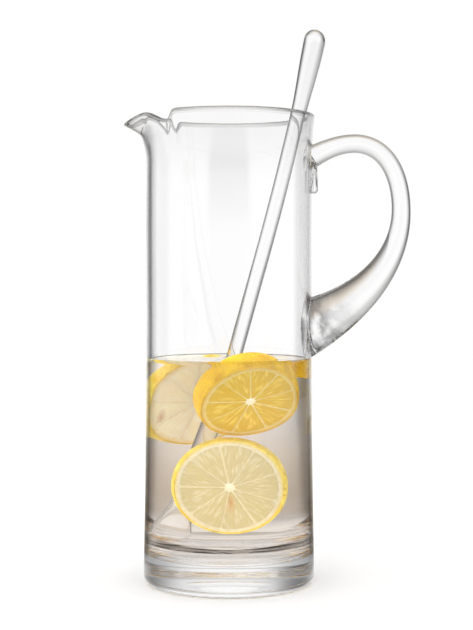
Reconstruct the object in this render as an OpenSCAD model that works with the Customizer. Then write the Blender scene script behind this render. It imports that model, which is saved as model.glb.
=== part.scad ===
// Cocktail pitcher: a clear glass jug with a heavy base, a pinched pouring lip and an applied handle.
// A glass stirrer stands in it, in a drink with four lemon wheels. All sizes are in millimetres.
// The jug stands on z = 0 on its own axis, with the handle on +X and the pouring lip on -X.

/* [Jug] */
// Outside diameter of the wall at mid height
body_d = 92; // [78:0.5:108]
// How far the foot stands out beyond that wall
foot_flare = 1.7; // [0:0.1:6]
// How far the rim stands out beyond that wall, away from the lip
rim_flare = 1.5; // [0:0.1:5]
// Height of the rim above the table
body_h = 260; // [235:1:300]
// Thickness of the wall
wall = 2.7; // [2:0.1:3.4]
// Thickness of the base under the floor
base_t = 15.5; // [12:0.5:26]
// Height over which the wall widens to the foot
foot_flare_h = 125; // [60:1:150]
// Radius of the heel between the wall and the underside
heel_r = 7; // [3:0.5:10]
// Radius between the floor and the wall inside
floor_r = 8; // [5:0.5:13]
// Diameter of the polished hollow under the base
pontil_d = 34; // [20:1:50]
// Depth of that hollow
pontil_depth = 1.4; // [0.6:0.1:3]

/* [Pouring lip] */
// Height of the wall that is drawn out into the lip
lip_h = 28; // [20:1:40]
// How far the tip stands out beyond the rim
lip_reach = 10.8; // [5:0.2:15]
// How far the tip hangs below the rim
lip_droop = 4.4; // [0:0.2:7]
// Angle from the middle of the lip to the edge of the drawn-out part
lip_angle = 34; // [24:1:40]
// Angle from the middle of the lip to each pinch
pinch_angle = 42; // [36:1:50]
// How far each pinch is pressed inwards at the rim
pinch_depth = 2.2; // [0:0.1:4]
// How far the rim drops in each pinch
pinch_drop = 5; // [0:0.2:7]

/* [Handle] */
// Distance from the wall to the middle of the grip
handle_reach = 49.8; // [40:0.2:60]
// Distance from the rim down to the middle of the handle's arch
arch_drop = 15.8; // [12:0.2:20]
// Distance from the rim down to the upper seal's middle
upper_seal_drop = 27; // [22:0.5:32]
// Distance from the rim down to where the handle stands out furthest
grip_drop = 53; // [44:0.5:64]
// Distance from the rim down to the lower seal's middle
lower_seal_drop = 117.5; // [98:0.5:138]
// Thickness of the grip, seen from the side
grip_t = 10.4; // [7:0.2:14]
// Width of the grip, seen from behind
grip_w = 13; // [8:0.2:18]
// Height of the lower seal
lower_seal_h = 34; // [20:1:44]
// Width of the lower seal
lower_seal_w = 29; // [18:1:34]
// Height of the upper seal
upper_seal_h = 14.5; // [12:0.5:24]
// Width of the upper seal
upper_seal_w = 22; // [14:1:28]
// Length of the turned-down tail under the upper seal
tail_l = 13; // [6:0.5:24]
// Thickness of that tail
tail_t = 4; // [2.5:0.1:6]

/* [Stirrer] */
// Length of the stirrer beyond the place where it leans on the rim
stirrer_out = 47.7; // [44:0.5:90]
// Diameter of its rod
rod_d = 8.6; // [6:0.1:9]
// Diameter of its knob
knob_d = 12.2; // [9:0.1:16]
// Length over which the rod widens to the knob
knob_taper_l = 46; // [25:1:80]
// Width of the pressed foot
paddle_w = 18; // [12:0.5:20]
// Thickness of the pressed foot
paddle_t = 4.4; // [4:0.2:7]
// Length of the pressed foot, up to the round rod
paddle_l = 34; // [26:0.5:48]
// Room between the pressed foot and the round edge of the floor
foot_room = 1; // [0.5:0.1:10]
// How far the stirrer stands behind the jug's axis
rod_back = 2.4; // [0:0.1:4]

/* [Drink and lemon] */
// Height of the drink above the table
drink_level = 125; // [119:0.5:160]
// How far the drink climbs up the wall
meniscus_h = 1.6; // [0.4:0.1:2.5]
// Diameter of the widest lemon wheel, as a share of the room it has in the drink
slice_share = 0.624; // [0.5:0.001:0.63]
// Diameter of the two wheels cut beside the widest one, as a share of it
side_share = 0.962; // [0.8:0.002:0.97]
// Diameter of the wheel cut near the lemon's end, as a share of the widest one
end_share = 0.564; // [0.45:0.002:0.6]
// Thickness of the wheels, as a share of the widest one's diameter
thick_share = 0.139; // [0.1:0.001:0.15]
// Thickness of the thick wheel in the middle, as a share of that of the others
middle_share = 1.57; // [1:0.01:1.6]
// Thickness of the thin wheel on the left, as a share of that of the others
left_share = 0.82; // [0.7:0.01:1]
// Thickness of the coloured peel
peel_t = 1.4; // [1:0.1:2.4]
// Thickness of the white pith under the peel
pith_t = 1.9; // [1.2:0.1:4]
// Thickness of the membranes between the segments
membrane_t = 0.55; // [0.45:0.05:1.6]
// Number of segments in a wheel
segment_count = 9; // [8:1:12]
// Radius of the corners of each segment
segment_corner_r = 1.2; // [0.8:0.1:3]

/* [Fits] */
// Gap between pieces that move past each other
run_gap = 0.3; // [0.2:0.05:0.6]
// Gap between the drink and what it wets
wet_gap = 0.25; // [0.15:0.05:0.5]
// Gap between the parts of a lemon wheel
fruit_seam = 0.12; // [0.08:0.01:0.25]
// Seam between the handle's seals and the wall
seal_seam = 0.06; // [0.02:0.01:0.2]

/* [Hidden] */
$fn = 96;
body_r = body_d / 2;
foot_r = body_r + foot_flare;
rim_r = body_r + rim_flare;
inner_r = body_r - wall;
rim_bead_r = wall / 2;
lip_z = body_h - lip_h;
foot_steps = 8;
arc_steps = 5;
bead_steps = 4;
blend_steps = 6;
// Power of the curve by which the wall widens to the foot
foot_power = 1.4;
// What a cutting form stands out beyond the form that it cuts
spare = 10;

// Share of the lip's height at which its underside bends outwards, and of its reach reached there
lip_bend_at = 0.76;
lip_bend_share = 0.19;
// Half width, in degrees, of the pinch towards the lip and away from it
pinch_in_w = 25;
pinch_out_w = 10;
// Half width, in degrees, of the drooping tip
droop_w = 20;
// Steps round the rim, close at the lip and wide elsewhere
close_step = 3;
wide_step = 6;
close_half = 60;
// The lip's foot is set in by this hairline where it grows out of the round wall
lip_inset = 0.04;

segment_half = 180 / segment_count;
segment_tip_r = 0.8;
peel_crown = 0.5;
hairline = 0.01;

white_glass = [0.86, 0.92, 0.93, 0.35];
water = [0.93, 0.95, 0.92, 0.3];
lemon_yellow = [0.95, 0.78, 0.1];
lemon_white = [0.95, 0.91, 0.78];
lemon_pulp = [0.89, 0.8, 0.42];

// Points on an arc round a centre
function arc(centre, r, from, to, steps) =
    [for (i = [0:steps]) let (a = from + (to - from) * i / steps) centre + r * [cos(a), sin(a)]];

// Smooth hump: 1 at zero, 0 at plus and minus one, level at both
function hump(x) = abs(x) < 1 ? (1 + cos(180 * x)) / 2 : 0;

// Point on a cubic curve with four control points
function bezier(p, t) =
    pow(1 - t, 3) * p[0] + 3 * t * pow(1 - t, 2) * p[1] + 3 * t * t * (1 - t) * p[2] + pow(t, 3) * p[3];

// Vessel

// Outside radius of the round wall at height z
function wall_r(z) =
    z < foot_flare_h ? body_r + (foot_r - body_r) * pow(1 - z / foot_flare_h, foot_power)
    : z > lip_z ? body_r + (rim_r - body_r) * pow((z - lip_z) / lip_h, 2)
    : body_r;

// Outside outline from the underside to height top, grown outwards
function outside_outline(top, grow) = concat(
    arc([wall_r(heel_r) - heel_r, heel_r], heel_r + grow, -90, 0, arc_steps),
    [for (i = [1:foot_steps])
        let (z = heel_r + (foot_flare_h - heel_r) * i / foot_steps)
        [wall_r(z) + grow, z]],
    [for (i = [0:foot_steps])
        let (z = lip_z + lip_h * i / foot_steps)
        if (z < top) [wall_r(z) + grow, z]],
    [[wall_r(top) + grow, top]]);

// Inside outline from the floor's middle up to height top, shrunk away from the glass
function inside_outline(top, shrink) = concat(
    [[0, base_t + shrink]],
    arc([inner_r - floor_r, base_t + floor_r], floor_r - shrink, -90, 0, 2 * arc_steps),
    [[inner_r - shrink, top]]);

// How far the lip is drawn out, by the angle from its middle and by the share of its height
function drawn_out(angle, share) =
    lip_reach * pow(hump(angle / lip_angle), 2)
    * (share < lip_bend_at ? lip_bend_share * pow(share / lip_bend_at, 2)
       : lip_bend_share + (1 - lip_bend_share) * (share - lip_bend_at) / (1 - lip_bend_at));

// Shape of a pinch round the rim: 1 in the pinch, steep towards the round rim
function pinch(angle) =
    let (off = angle - pinch_angle) hump(off / (off < 0 ? pinch_in_w : pinch_out_w));

// How far the rim lies below its full height
function rim_drop(angle) = lip_droop * hump(angle / droop_w) + pinch_drop * pinch(angle);

// Bearings of the points round the rim
lip_bearings = concat(
    [for (a = [-close_half:close_step:close_half - close_step]) a],
    [for (a = [close_half:wide_step:360 - close_half - wide_step]) a]);
wide_share = 1 / cos(wide_step / 2);

// A ring of the drawn-up wall at a share of its height; across goes from the outside, 0, to the inside, 1
function lip_ring(share, across, up) = [
    for (b = lip_bearings)
        let (angle = b > 180 ? 360 - b : abs(b),
             full = lip_h - rim_bead_r - rim_drop(angle),
             inset = lip_inset * (1 - share) * (1 - 2 * across),
             pressed = pinch_depth * pinch(angle) * share * share,
             outer = wall_r(lip_z + lip_h * share) + drawn_out(angle, share) - pressed,
             r = (outer - inset - wall * across) * (across < 0.5 ? 1 : wide_share))
        [-r * cos(b), -r * sin(b), lip_z + full * share + up]];

// Shares of the lip's height at which a ring lies, below and above the bend
lip_shares = concat(
    [for (i = [0:arc_steps]) lip_bend_at * i / arc_steps],
    [for (i = [1:bead_steps]) lip_bend_at + (1 - lip_bend_at) * i / bead_steps]);

// Rings up the outside, over the round rim and down the inside
function lip_rings() = let (n = len(lip_shares) - 1) concat(
    [for (s = lip_shares) lip_ring(s, 0, 0)],
    [for (i = [1:bead_steps])
        let (a = 180 * i / (bead_steps + 1))
        lip_ring(1, (1 - cos(a)) / 2, rim_bead_r * sin(a))],
    [for (i = [n:-1:0]) lip_ring(lip_shares[i], 1, 0)]);

// The two triangles between points j and next of one ring and of the ring above it
function two_faces(ring, above, j, next) =
    [[ring + j, above + next, ring + next], [ring + j, above + j, above + next]];

// Closed skin through rings that follow one another round a loop
module looped_skin(rings) {
    n = len(rings[0]);
    m = len(rings);
    polyhedron(
        points = [for (ring = rings) for (p = ring) p],
        faces = [for (i = [0:m - 1]) for (j = [0:n - 1])
                 let (next = (j + 1) % n, above = (i + 1) % m * n)
                 each two_faces(i * n, above, j, next)]);
}

// Closed skin through rings with a flat cap at each end
module capped_skin(rings) {
    n = len(rings[0]);
    m = len(rings);
    polyhedron(
        points = [for (ring = rings) for (p = ring) p],
        faces = concat(
            [[for (j = [0:n - 1]) j]],
            [for (i = [0:m - 2]) for (j = [0:n - 1])
             let (next = (j + 1) % n)
             each two_faces(i * n, (i + 1) * n, j, next)],
            [[for (j = [n - 1:-1:0]) (m - 1) * n + j]]));
}

// The round jug as a solid of revolution, grown outwards, without its hollow
module outside_form(top, grow) {
    rotate_extrude()
        polygon(concat([[0, -grow]], outside_outline(top, grow), [[0, top]]));
}

// What the jug holds up to a height, shrunk away from the glass
module inside_form(top, shrink) {
    rotate_extrude()
        polygon(concat(inside_outline(top, shrink), [[0, top]]));
}

module pontil_hollow() {
    r = (pow(pontil_d / 2, 2) + pow(pontil_depth, 2)) / (2 * pontil_depth);
    translate([0, 0, pontil_depth - r])
        sphere(r);
}

module pitcher_body() {
    color(white_glass)
        union() {
            difference() {
                outside_form(lip_z, 0);
                inside_form(lip_z + spare, 0);
                pontil_hollow();
            }
            looped_skin(lip_rings());
        }
}

// Handle

handle_upper_z = body_h - upper_seal_drop;
handle_arch_z = body_h - arch_drop;
handle_grip_z = body_h - grip_drop;
handle_lower_z = body_h - lower_seal_drop;

// Control point of the handle's middle line: out from the wall and up from a height, in shares of the reach
function handle_point(out, z, up) = [body_r + out * handle_reach, z + up * handle_reach];

// Middle line from the upper seal over the arch, down the grip and back to the lower seal
handle_curves = [
    [handle_point(-0.18, handle_upper_z, -0.02), handle_point(0.08, handle_upper_z, 0.12),
     handle_point(0.26, handle_arch_z, 0), handle_point(0.48, handle_arch_z, 0)],
    [handle_point(0.48, handle_arch_z, 0), handle_point(0.8, handle_arch_z, 0),
     handle_point(1, handle_grip_z, 0.44), handle_point(1, handle_grip_z, 0)],
    [handle_point(1, handle_grip_z, 0), handle_point(1, handle_grip_z, -0.56),
     handle_point(0.58, handle_lower_z, 0.24), handle_point(-0.18, handle_lower_z, -0.06)]];
handle_steps = 14;
handle_sides = 20;
handle_line = [
    for (c = [0:2])
        for (i = [(c == 0 ? 0 : 1):handle_steps])
            bezier(handle_curves[c], i / handle_steps)];

// Thickening towards each seal: 1 at the wall, 0 along the grip
upper_swell_end = 0.3;
lower_swell_start = 0.64;
function upper_seal(u) = pow(max(0, 1 - u / upper_swell_end), 2);
function lower_seal(u) = pow(max(0, (u - lower_swell_start) / (1 - lower_swell_start)), 2);

// Oval section across the middle line, with half sizes that grow towards the seals
function handle_ring(i) =
    let (n = len(handle_line) - 1,
         u = i / n,
         d = handle_line[min(i + 1, n)] - handle_line[max(i - 1, 0)],
         side = [-d[1], d[0]] / norm(d),
         t = grip_t + (upper_seal_h - grip_t) * upper_seal(u) + (lower_seal_h - grip_t) * lower_seal(u),
         w = grip_w + (upper_seal_w - grip_w) * upper_seal(u) + (lower_seal_w - grip_w) * lower_seal(u))
    [for (j = [0:handle_sides - 1])
        let (a = 360 * j / handle_sides, p = handle_line[i] + side * t / 2 * cos(a))
        [p[0], -w / 2 * sin(a), p[1]]];

// The trailing end of the handle's glass, turned down against the wall and ending in a small roll
module handle_tail() {
    x = body_r + 0.3 * tail_t;
    top = handle_upper_z - upper_seal_h / 6;
    bottom = handle_upper_z - upper_seal_h / 2 - tail_l + tail_t;
    hull() {
        for (y = [-1, 1]) {
            translate([x, y * upper_seal_w / 5, top])
                sphere(tail_t / 2, $fn = 16);
            translate([x, y * upper_seal_w / 8, bottom + tail_t])
                sphere(tail_t / 2, $fn = 16);
        }
    }
    translate([x + tail_t / 8, 0, bottom + tail_t / 2])
        rotate([90, 0, 0])
            cylinder(h = 0.385 * upper_seal_w, r = 0.6 * tail_t, center = true);
}

module handle() {
    color(white_glass)
        difference() {
            union() {
                capped_skin([for (i = [0:len(handle_line) - 1]) handle_ring(i)]);
                handle_tail();
            }
            outside_form(body_h + spare, seal_seam);
        }
}

// Stirrer

rod_r = rod_d / 2;
knob_r = knob_d / 2;
paddle_r = paddle_w / 2;
foot_offset = inner_r - floor_r - paddle_r - foot_room;

// The foot's round end stands over the floor, and the rod leans on the rim's bead above the handle
foot_point = [-foot_offset, base_t + run_gap + paddle_r];
bead_point = [sqrt(pow(rim_r - rim_bead_r, 2) - pow(rod_back, 2)), body_h - rim_bead_r];
to_bead = bead_point - foot_point;
lean_off = rod_r + run_gap + rim_bead_r;
stirrer_tilt = atan2(to_bead[0], to_bead[1]) - asin(lean_off / norm(to_bead));
stirrer_l = paddle_r + sqrt(pow(norm(to_bead), 2) - pow(lean_off, 2)) + stirrer_out;

// Outline of the rod and knob from the foot's round end to the top, grown outwards
function stirrer_outline(grow) = concat(
    arc([0, paddle_r], paddle_r + grow, -90, 0, 2 * arc_steps),
    [for (i = [1:blend_steps])
        let (s = i / blend_steps)
        [rod_r + (paddle_r - rod_r) * hump(s) + grow, paddle_r + (paddle_l - paddle_r) * s]],
    [for (i = [0:blend_steps])
        let (s = i / blend_steps)
        [rod_r + (knob_r - rod_r) * (1 - hump(s)) + grow, stirrer_l - knob_r - knob_taper_l * (1 - s)]],
    arc([0, stirrer_l - knob_r], knob_r + grow, 15, 90, arc_steps));

// What the tongs press away from one side of the foot, a little further up than the blend to the rod
module pressed_away(grow) {
    top = 1.18 * paddle_l;
    rise = 1.05 * rod_r - paddle_t / 2;
    rotate([90, 0, 90])
        linear_extrude(height = 2 * paddle_w, center = true)
            polygon(concat(
                [for (i = [0:blend_steps])
                    let (s = i / blend_steps)
                    [paddle_t / 2 + grow + rise * (1 - hump(s)), paddle_r + (top - paddle_r) * s]],
                [[paddle_w, top], [paddle_w, -spare], [paddle_t / 2 + grow, -spare]]));
}

module stirrer_form(grow) {
    translate([foot_point[0], rod_back, foot_point[1]])
        rotate([0, stirrer_tilt, 0])
            translate([0, 0, -paddle_r])
                difference() {
                    rotate_extrude()
                        polygon(concat([[0, -grow]], stirrer_outline(grow)));
                    for (turn = [0, 180])
                        rotate([0, 0, turn])
                            pressed_away(grow);
                }
}

module stirrer() {
    color(white_glass)
        stirrer_form(0);
}

// Lemon wheels

// Room for the wheels: the bore, or the depth of the drink where that is less
depth_share = 0.81;
drink_room = min(2 * inner_r, depth_share * (drink_level - base_t));
slice_d = slice_share * drink_room;
slice_t = thick_share * slice_d;
side_slice_d = side_share * slice_d;
end_slice_d = end_share * slice_d;
thick_slice_t = middle_share * slice_t;
thin_slice_t = left_share * slice_t;
end_slice_t = 1.2 * slice_t;

// Each wheel: diameter, thickness, bearing from the front, middle's distance from the axis as a share of
// the bore's radius, height, turn about the vertical and lean from upright
front_slice = [slice_d, slice_t, 2.6, 0.31, base_t + 0.755 * slice_d, -4, 8];
middle_slice = [side_slice_d, thick_slice_t, 24.4, 0.492, drink_level - 0.342 * slice_d, 20, 39];
left_slice = [side_slice_d, thin_slice_t, -153, 0.632, drink_level - 0.453 * slice_d, 32, 14];
right_slice = [end_slice_d, end_slice_t, 123.4, 0.612, drink_level - 0.111 * slice_d, -60, 78];

module place_slice(s) {
    from_axis = s[3] * inner_r;
    translate([from_axis * sin(s[2]), -from_axis * cos(s[2]), s[4]])
        rotate([90 + s[6], 0, s[5]])
            children();
}

// The whole wheel, with a slightly crowned edge, grown outwards
module slice_form(s, grow) {
    d = s[0];
    t = s[1];
    rotate_extrude()
        polygon(concat(
            [[0, -t / 2 - grow]],
            [for (i = [-2:2]) [d / 2 + grow - peel_crown * pow(i / 2, 2), (t / 2 + grow) * i / 2]],
            [[0, t / 2 + grow]]));
}

// Outline of one segment: round at the peel, with round corners and a blunt tip at the core
function segment_outline(s, grow) =
    let (r = s[0] / 2 - peel_t - pith_t,
         c = segment_corner_r,
         m = membrane_t / 2,
         at = segment_half - asin((m + c) / (r - c)),
         tip = [(m + segment_tip_r) / sin(segment_half), 0],
         corner = (r - c) * [cos(at), sin(at)])
    concat(
        arc([0, 0], r + grow, -at, at, 4),
        arc(corner, c + grow, at, segment_half + 90, arc_steps),
        arc(tip, segment_tip_r + grow, segment_half + 90, 270 - segment_half, arc_steps),
        arc([corner[0], -corner[1]], c + grow, -segment_half - 90, -at, arc_steps));

module peel(s) {
    color(lemon_yellow)
        place_slice(s)
            difference() {
                slice_form(s, 0);
                cylinder(h = 2 * s[1], r = s[0] / 2 - peel_t, center = true);
            }
}

module pith(s) {
    color(lemon_white)
        place_slice(s)
            linear_extrude(height = s[1] - 2 * hairline, center = true)
                difference() {
                    circle(s[0] / 2 - peel_t - fruit_seam);
                    for (i = [0:segment_count - 1])
                        rotate(i * 360 / segment_count)
                            polygon(segment_outline(s, fruit_seam));
                }
}

module segments(s) {
    color(lemon_pulp)
        place_slice(s)
            for (i = [0:segment_count - 1])
                rotate([0, 0, i * 360 / segment_count])
                    linear_extrude(height = s[1], center = true)
                        polygon(segment_outline(s, 0));
}

// Drink

// The drink climbs a little where it meets the wall
module drink() {
    rise_w = 2.4 * meniscus_h;
    edge = inner_r - wet_gap;
    top = drink_level + meniscus_h;
    color(water)
        difference() {
            inside_form(top, wet_gap);
            rotate_extrude()
                polygon(concat(
                    [[0, drink_level]],
                    [for (i = [0:arc_steps])
                        let (s = i / arc_steps)
                        [edge - rise_w * (1 - s), drink_level + meniscus_h * s * s]],
                    [[edge + spare, top], [edge + spare, top + spare], [0, top + spare]]));
            stirrer_form(wet_gap);
            for (s = [front_slice, middle_slice, left_slice, right_slice])
                place_slice(s)
                    slice_form(s, wet_gap);
        }
}

pitcher_body();
handle();
stirrer();
drink();
peel(front_slice);  // front_slice_peel
pith(front_slice);  // front_slice_pith
segments(front_slice);  // front_slice_segments
peel(middle_slice);  // middle_slice_peel
pith(middle_slice);  // middle_slice_pith
segments(middle_slice);  // middle_slice_segments
peel(left_slice);  // left_slice_peel
pith(left_slice);  // left_slice_pith
segments(left_slice);  // left_slice_segments
peel(right_slice);  // right_slice_peel
pith(right_slice);  // right_slice_pith
segments(right_slice);  // right_slice_segments
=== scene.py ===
import math
import bpy
import numpy as np
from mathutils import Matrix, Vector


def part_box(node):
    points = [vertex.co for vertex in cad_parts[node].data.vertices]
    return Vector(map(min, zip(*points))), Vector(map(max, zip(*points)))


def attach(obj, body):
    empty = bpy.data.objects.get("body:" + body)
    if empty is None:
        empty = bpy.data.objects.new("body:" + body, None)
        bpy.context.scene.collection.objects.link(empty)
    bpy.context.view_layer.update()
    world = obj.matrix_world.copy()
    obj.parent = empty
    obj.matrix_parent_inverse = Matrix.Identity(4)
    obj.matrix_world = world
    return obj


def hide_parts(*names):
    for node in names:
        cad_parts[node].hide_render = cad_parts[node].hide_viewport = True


# Looks of the cocktail pitcher: a clear glass jug with its handle, a glass stirrer, a drink and lemon wheels.
# The handle is on +X, the pouring lip on -X, and the camera stands on -Y.

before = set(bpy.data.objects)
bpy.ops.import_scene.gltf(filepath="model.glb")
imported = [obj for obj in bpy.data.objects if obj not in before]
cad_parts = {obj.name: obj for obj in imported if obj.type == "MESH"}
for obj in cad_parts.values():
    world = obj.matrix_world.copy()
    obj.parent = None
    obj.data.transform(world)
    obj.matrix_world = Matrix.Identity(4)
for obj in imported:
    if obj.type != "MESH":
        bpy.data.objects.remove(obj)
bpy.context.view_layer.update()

# Sizes in millimetres, as in the part's source; what the frame gives is read from it
MM = 0.001


def box_mm(node):
    """Lowest and highest corner of a CAD node, in millimetres."""
    low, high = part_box(node)
    return np.array(low) / MM, np.array(high) / MM


body_r = 46.0
foot_r = body_r + 1.7
rim_r = body_r + 1.5
wall = 2.7
bead_r = wall / 2
inner_r = body_r - wall
base_t = 15.5
body_h = box_mm("pitcher_body")[1][2]
foot_flare_h = 125.0
foot_power = 1.4
# The source's heel is rounder, 7 mm, which takes about 1 mm more off the corner.
# The finer edge here lets the base look clear, as the real one does.
heel_r = 4.5
floor_r = 8.0
pontil_r = 17.0
pontil_depth = 1.4
lip_h = 28.0
lip_z = body_h - lip_h
lip_reach = 10.8
lip_droop = 4.4
lip_angle = 34.0
pinch_angle = 42.0
pinch_depth = 2.2
pinch_drop = 5.0
pinch_lip_side, pinch_rim_side = 25.0, 10.0
droop_angle = 20.0
drink_level = 125.0
meniscus_h = 0.3

# Small numeric helpers


def hump(x):
    """Smooth hump: half of one plus the cosine of x half turns, 1 at zero and 0 from plus or minus one on."""
    return np.where(np.abs(x) < 1, (1 + np.cos(np.pi * np.clip(x, -1, 1))) / 2, 0.0)


def ramp(x, width):
    """Smooth positive part of x: a hyperbola that is near zero below zero and near x above it."""
    return (x + np.sqrt(x * x + width * width)) / 2


def bezier(points, t):
    """Cubic curve through the first and last of four points, pulled by the two between."""
    p = np.array(points)[:, None, :]
    t = np.asarray(t)[:, None]
    return (1 - t) ** 3 * p[0] + 3 * t * (1 - t) ** 2 * p[1] + 3 * t * t * (1 - t) * p[2] + t ** 3 * p[3]


def spans(*marks):
    """One rising or falling list of numbers from (start, stop, steps) triples laid end to end."""
    parts = [np.linspace(a, b, n, endpoint=False) for a, b, n in marks]
    return np.concatenate(parts + [[marks[-1][1]]])


def whole_turn(steps):
    """Angles of one whole turn in even steps, as a row."""
    return np.linspace(0, 2 * np.pi, steps, endpoint=False)[None, :]


# Meshes

uv_name = "along_and_round"


def tube_faces(rows, columns):
    """Quads between neighbouring rows of a grid whose columns run round, point row * columns + column,
    then a fan from one pole to the first row and from the last row to the other pole."""
    row = np.arange(rows - 1)[:, None] * columns
    here = np.arange(columns)[None, :]
    after = (here + 1) % columns
    corners = np.broadcast_arrays(row + here, row + after, row + columns + after, row + columns + here)
    quads = np.stack(corners, -1).reshape(-1, 4)
    ring = np.arange(columns)
    onward = (ring + 1) % columns
    last = (rows - 1) * columns
    low = np.stack([np.full(columns, rows * columns), onward, ring], -1)
    high = np.stack([np.full(columns, rows * columns + 1), last + ring, last + onward], -1)
    return quads, np.concatenate([low, high])


def loop_faces(rows, columns):
    """Quads of a grid that runs round both ways, as on a ring."""
    row = np.arange(rows)[:, None]
    here = np.arange(columns)[None, :]
    after = (here + 1) % columns
    up = (row + 1) % rows
    corners = np.broadcast_arrays(row * columns + here, row * columns + after,
                                  up * columns + after, up * columns + here)
    return np.stack(corners, -1).reshape(-1, 4), np.zeros((0, 3), int)


def closed_tube(grid, first=None, last=None):
    """Points and faces of a tube through the rows of a grid (rows, columns, 3), with a pole at each end."""
    rows, columns = grid.shape[:2]
    first = grid[0].mean(0) if first is None else first
    last = grid[-1].mean(0) if last is None else last
    quads, fans = tube_faces(rows, columns)
    return np.concatenate([grid.reshape(-1, 3), [first], [last]]), quads, fans


def joined(parts):
    """Several (points, quads, triangles) as one."""
    offsets = np.cumsum([0] + [len(p[0]) for p in parts[:-1]])
    points = np.concatenate([p[0] for p in parts])
    quads = np.concatenate([p[1] + o for p, o in zip(parts, offsets)])
    fans = np.concatenate([p[2] + o for p, o in zip(parts, offsets)])
    return points, quads, fans


def outward(points, quads, fans):
    """The same faces, turned round if the volume that they close comes out negative."""
    corners = np.concatenate([quads[:, [0, 1, 2]], quads[:, [0, 2, 3]], fans])
    a, b, c = (points[corners[:, i]] for i in range(3))
    volume = np.einsum("ij,ij->i", a, np.cross(b, c)).sum()
    return (quads, fans) if volume > 0 else (quads[:, ::-1], fans[:, ::-1])


def new_object(name, data):
    """An object in the scene that shows a mesh, lamp or camera."""
    made = bpy.data.objects.new(name, data)
    bpy.context.scene.collection.objects.link(made)
    return made


def add_piece(name, body, nodes, surface, materials, face_material=None, uv=None):
    """A piece of the object from (points, quads, triangles) in millimetres, which rides on a body in place of
    CAD nodes."""
    points, quads, fans = surface
    quads, fans = outward(points, quads, fans)
    mesh = bpy.data.meshes.new(name)
    mesh.from_pydata((points * MM).tolist(), [], quads.tolist() + fans.tolist())
    mesh.polygons.foreach_set("use_smooth", np.ones(len(mesh.polygons), bool))
    for material in materials:
        mesh.materials.append(material)
    if face_material is not None:
        mesh.polygons.foreach_set("material_index", face_material(points, quads, fans).astype(np.int32))
    if uv is not None:
        corner = np.zeros(len(mesh.loops), np.int32)
        mesh.loops.foreach_get("vertex_index", corner)
        layer = mesh.uv_layers.new(name=uv_name)
        layer.data.foreach_set("uv", uv[corner].astype(np.float32).ravel())
    mesh.update()
    piece = new_object(name, mesh)
    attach(piece, body)
    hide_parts(*nodes)


# Materials


def colour(code):
    """Linear colour of an sRGB hex code."""
    parts = np.array([int(code[i:i + 2], 16) / 255 for i in (0, 2, 4)])
    linear = np.where(parts <= 0.04045, parts / 12.92, ((parts + 0.055) / 1.055) ** 2.4)
    return (*linear.tolist(), 1.0)


def add(tree, kind, inputs=None, **settings):
    """A node of a kind. Settings go to its properties, or by name to its inputs. Inputs, by name or number,
    take a value, another node's socket, or a node, which stands for its first open output."""
    made = tree.nodes.new(kind)
    for key, value in settings.items():
        if hasattr(made, key):
            setattr(made, key, value)
        else:
            made.inputs[key.replace("_", " ")].default_value = value
    for key, source in (inputs or {}).items():
        if isinstance(source, bpy.types.Node):
            source = next(socket for socket in source.outputs if socket.enabled)
        if isinstance(source, bpy.types.NodeSocket):
            tree.links.new(source, made.inputs[key])
        else:
            made.inputs[key].default_value = source
    return made


def new_material(name):
    """An empty material and its node tree."""
    made = bpy.data.materials.new(name)
    made.use_nodes = True
    made.node_tree.nodes.clear()
    return made, made.node_tree


def set_stops(ramp_node, *stops):
    """Gives a colour ramp its stops, as (position, hex code) pairs in rising order."""
    elements = ramp_node.color_ramp.elements
    while len(elements) < len(stops):
        elements.new(0.5)
    for element, (position, code) in zip(elements, stops):
        element.position = position
        element.color = colour(code)


def per_mm(size):
    """Texture scale at which one cell or wave is size millimetres, on Object coordinates in metres."""
    return 1 / (size * MM)


# Inputs of a Mix node that mixes colours
COLOUR_A, COLOUR_B = 6, 7
WHITE = (1, 1, 1, 1)

glass_ior = 1.5
water_ior = 1.333
# Under water a fruit has almost no gloss: its index is taken against the drink's
wet_peel_ior = 1.45 / water_ior
wet_pith_ior = 1.4 / water_ior
wet_flesh_ior = 1.36 / water_ior

# How far the painted dark blots of shade at a seal reach out and up
seal_shade_reach = 26.0
# How far below the rim the inside's painted grey shade starts, and where it is darkest
rim_shade_start, rim_shade_end = 36.0, 8.0


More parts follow.
